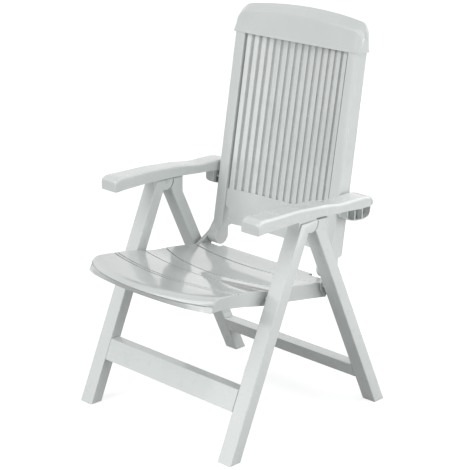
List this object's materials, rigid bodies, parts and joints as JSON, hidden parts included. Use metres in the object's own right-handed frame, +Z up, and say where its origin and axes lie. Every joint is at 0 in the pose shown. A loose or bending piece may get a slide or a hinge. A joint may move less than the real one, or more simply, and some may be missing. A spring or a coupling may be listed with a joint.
{
  "type": "folding reclining garden lounger chair",
  "caption": "High-backed white resin garden lounger chair with slatted reclining back, dished seat, lift-up armrests on toothed racks and crossed legs that fold flat.",
  "frame": {"origin": "on the ground under the middle of the open chair's box", "axes": "+X to the sitter's left, -Y the way the sitter faces, +Z up"},
  "size_m": [0.606, 0.684, 1.1],
  "materials": {
    "frame_resin": "semi-gloss moulded white resin, smooth bars",
    "arm_resin": "semi-gloss moulded white resin, fine satin grain on the top",
    "back_resin": "semi-gloss moulded white resin, fine grain on the slats",
    "seat_resin": "glossy moulded white resin, polished by use",
    "cap_resin": "semi-gloss moulded white resin",
    "pin_resin": "plain white resin pins"
  },
  "bodies": {
    "front_frame": {"front_leg_left": "frame_resin", "front_leg_right": "frame_resin", "front_crossbar": "frame_resin", "leg_pivot_pin_left": "pin_resin", "leg_pivot_pin_right": "pin_resin", "arm_pivot_pin_left": "pin_resin", "arm_pivot_pin_right": "pin_resin", "seat_front_pin_left": "pin_resin", "seat_front_pin_right": "pin_resin"},
    "rear_frame": {"rear_leg_left": "frame_resin", "rear_leg_right": "frame_resin", "rear_crossbar": "frame_resin"},
    "seat": {"seat_panel": "seat_resin", "seat_rear_pin_left": "pin_resin", "seat_rear_pin_right": "pin_resin"},
    "back_hinge": {"back_pivot_pin_left": "pin_resin", "back_pivot_pin_right": "pin_resin"},
    "backrest": {"back_stile_left": "back_resin", "back_stile_right": "back_resin", "back_slat_panel": "back_resin", "back_lower_panel": "back_resin", "head_cap": "cap_resin", "lock_pin_left": "pin_resin", "lock_pin_right": "pin_resin"},
    "arm_left": {"armrest_left": "arm_resin"},
    "arm_right": {"armrest_right": "arm_resin"}
  },
  "joints": [
    {"name": "fold", "type": "hinge", "parent": "front_frame", "child": "rear_frame", "pos_m": [0, 0.00889, 0.602], "axis": [-1, 0, 0], "range_deg": [0, 45]},
    {"name": "seat_fold", "type": "hinge", "parent": "seat", "child": "front_frame", "pos_m": [0, -0.09625, 0.404], "axis": [1, 0, 0], "range_deg": [0, 90]},
    {"name": "back_level", "type": "hinge", "parent": "back_hinge", "child": "seat", "pos_m": [0, 0.17601, 0.416], "axis": [-1, 0, 0], "range_deg": [0, 90]},
    {"name": "recline", "type": "hinge", "parent": "back_hinge", "child": "backrest", "pos_m": [0, 0.17601, 0.416], "axis": [-1, 0, 0], "range_deg": [0, 24]},
    {"name": "arm_lift_left", "type": "hinge", "parent": "front_frame", "child": "arm_left", "pos_m": [0.2715, -0.02253, 0.625], "axis": [1, 0, 0], "range_deg": [0, 40]},
    {"name": "arm_lift_right", "type": "hinge", "parent": "front_frame", "child": "arm_right", "pos_m": [-0.2715, -0.02253, 0.625], "axis": [1, 0, 0], "range_deg": [0, 40]}
  ],
  "couplings": [
    {"joint": "seat_fold", "follows": "fold", "ratio": 2},
    {"joint": "back_level", "follows": "fold", "ratio": 2}
  ]
}
